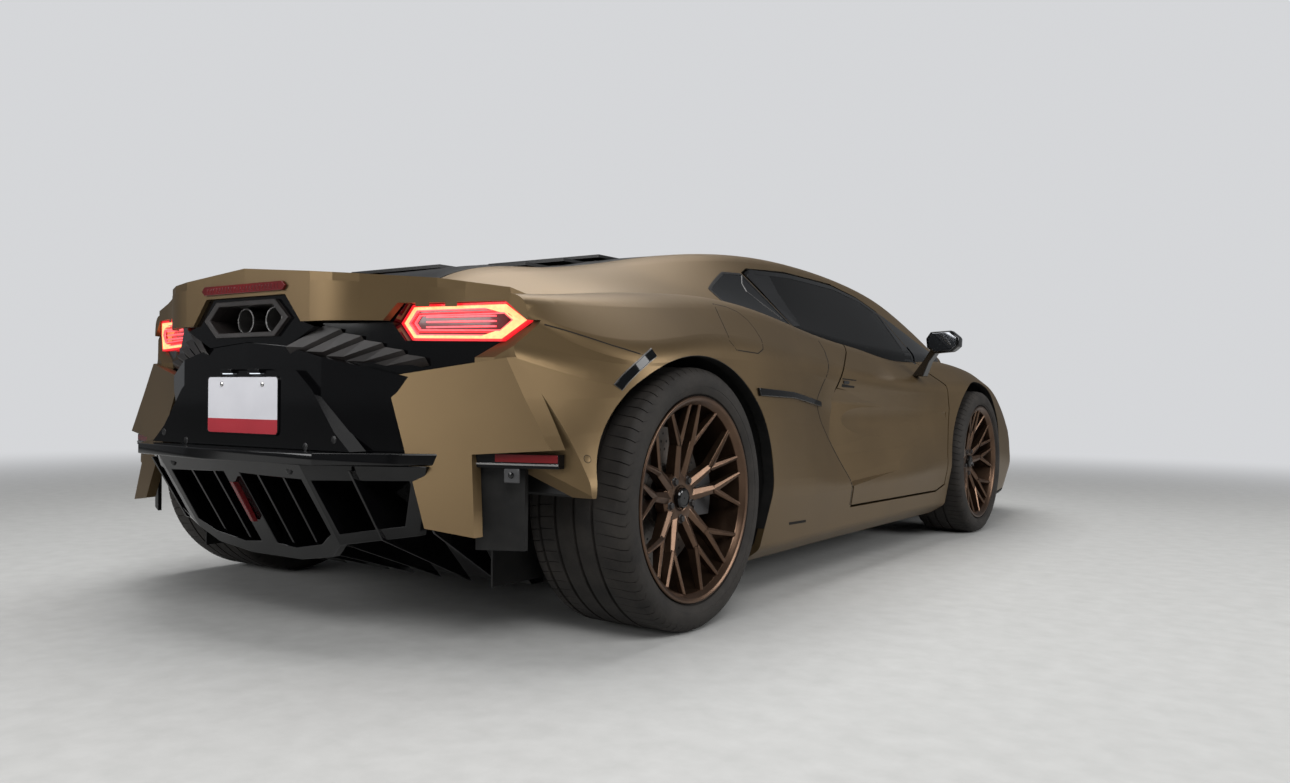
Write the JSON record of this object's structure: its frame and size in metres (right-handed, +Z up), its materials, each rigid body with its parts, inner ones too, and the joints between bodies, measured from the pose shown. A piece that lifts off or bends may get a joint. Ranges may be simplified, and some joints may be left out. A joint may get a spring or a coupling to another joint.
{
  "type": "mid-engined two-seat supercar",
  "caption": "Low wedge-shaped two-seat supercar with upswinging doors, hexagonal tail lamps, multi-spoke wheels, steering and opening lids.",
  "frame": {"origin": "on the ground, below the middle of the length and width", "axes": "+Z up, +Y towards the tail, +X towards the car's left side"},
  "size_m": [2.228, 4.706, 1.2003],
  "materials": {
    "body_paint": "matte metallic bronze paint",
    "cover_black": "satin black carbon panel",
    "disc_iron": "machined brake disc",
    "forged_grey": "forged grey",
    "gloss_black": "gloss black",
    "lamp_glass": "dark clear lamp cover",
    "lamp_red": "red lens",
    "plate_white": "blank painted plate",
    "rim_bronze": "satin bronze finish",
    "seat_leather": "black leather",
    "trim_black": "matte black moulding",
    "tyre_rubber": "dusty black rubber",
    "vent_dark": "dark grey moulding",
    "wheel_leather": "black leather",
    "window_glass": "tinted glass"
  },
  "bodies": {
    "car_body": {"brake_lamp": "lamp_red", "chassis_tub": "trim_black", "corner_boards": "trim_black", "corner_markers": "lamp_red", "corner_panels": "body_paint", "dashboard": "trim_black", "diffuser": "trim_black", "engine_block": "trim_black", "exhaust": "vent_dark", "front_bumper": "body_paint", "front_fenders": "body_paint", "front_grilles": "gloss_black", "front_splitter": "trim_black", "headlamps": "lamp_glass", "knuckles_rear": "forged_grey", "number_plate": "plate_white", "quarter_panels": "body_paint", "rear_bumper": "gloss_black", "rear_fascia": "gloss_black", "rear_ledge": "gloss_black", "rear_louvres": "vent_dark", "roof_frame": "body_paint", "seats": "seat_leather", "side_lights": "window_glass", "tail_lamps": "lamp_red", "tail_spoiler": "body_paint", "wheel_liners": "trim_black", "windscreen": "window_glass", "wishbones": "forged_grey"},
    "door_left": {"door_left": "body_paint", "door_glass_left": "window_glass", "mirror_left": "gloss_black"},
    "door_right": {"door_right": "body_paint", "door_glass_right": "window_glass", "mirror_right": "gloss_black"},
    "bonnet": {"bonnet": "body_paint"},
    "engine_cover": {"engine_cover": "cover_black"},
    "knuckle_front_left": {"knuckle_front_left": "forged_grey"},
    "knuckle_front_right": {"knuckle_front_right": "forged_grey"},
    "steering_wheel": {"steering_wheel": "wheel_leather"},
    "wheel_front_left": {"rim_front_left": "rim_bronze", "tyre_front_left": "tyre_rubber", "disc_front_left": "disc_iron"},
    "wheel_front_right": {"rim_front_right": "rim_bronze", "tyre_front_right": "tyre_rubber", "disc_front_right": "disc_iron"},
    "wheel_rear_left": {"rim_rear_left": "rim_bronze", "tyre_rear_left": "tyre_rubber", "disc_rear_left": "disc_iron"},
    "wheel_rear_right": {"rim_rear_right": "rim_bronze", "tyre_rear_right": "tyre_rubber", "disc_rear_right": "disc_iron"}
  },
  "joints": [
    {"name": "wheel_rear_left_spin", "type": "hinge", "parent": "car_body", "child": "wheel_rear_left", "pos_m": [0.835, 1.503, 0.362], "axis": [1, 0, 0], "continuous": true},
    {"name": "wheel_rear_right_spin", "type": "hinge", "parent": "car_body", "child": "wheel_rear_right", "pos_m": [-0.835, 1.503, 0.362], "axis": [1, 0, 0], "continuous": true},
    {"name": "wheel_front_left_spin", "type": "hinge", "parent": "knuckle_front_left", "child": "wheel_front_left", "pos_m": [0.861, -1.155, 0.342], "axis": [1, 0, 0], "continuous": true},
    {"name": "wheel_front_right_spin", "type": "hinge", "parent": "knuckle_front_right", "child": "wheel_front_right", "pos_m": [-0.861, -1.155, 0.342], "axis": [1, 0, 0], "continuous": true},
    {"name": "steer_left", "type": "hinge", "parent": "car_body", "child": "knuckle_front_left", "pos_m": [0.7935, -1.155, 0.342], "axis": [0, 0, 1], "range_deg": [-33, 33]},
    {"name": "steer_right", "type": "hinge", "parent": "car_body", "child": "knuckle_front_right", "pos_m": [-0.7935, -1.155, 0.342], "axis": [0, 0, 1], "range_deg": [-33, 33]},
    {"name": "door_left_swing", "type": "hinge", "parent": "car_body", "child": "door_left", "pos_m": [0.917, -0.665, 0.702], "axis": [0.5299, 0, -0.848], "range_deg": [0, 62]},
    {"name": "door_right_swing", "type": "hinge", "parent": "car_body", "child": "door_right", "pos_m": [-0.917, -0.665, 0.702], "axis": [0.5299, 0, 0.848], "range_deg": [0, 62]},
    {"name": "bonnet_lift", "type": "hinge", "parent": "car_body", "child": "bonnet", "pos_m": [0, -1.366, 0.718], "axis": [-1, 0, 0], "range_deg": [0, 55]},
    {"name": "engine_cover_lift", "type": "hinge", "parent": "car_body", "child": "engine_cover", "pos_m": [0, 0.78, 1.118], "axis": [1, 0, 0], "range_deg": [0, 45]},
    {"name": "steering_wheel_turn", "type": "hinge", "parent": "car_body", "child": "steering_wheel", "pos_m": [0.372, -0.36, 0.69], "axis": [0, 0.9272, 0.3746], "range_deg": [-430, 430]}
  ],
  "couplings": [
    {"joint": "steer_right", "follows": "steer_left", "ratio": 1},
    {"joint": "steering_wheel_turn", "follows": "steer_left", "ratio": 13}
  ]
}
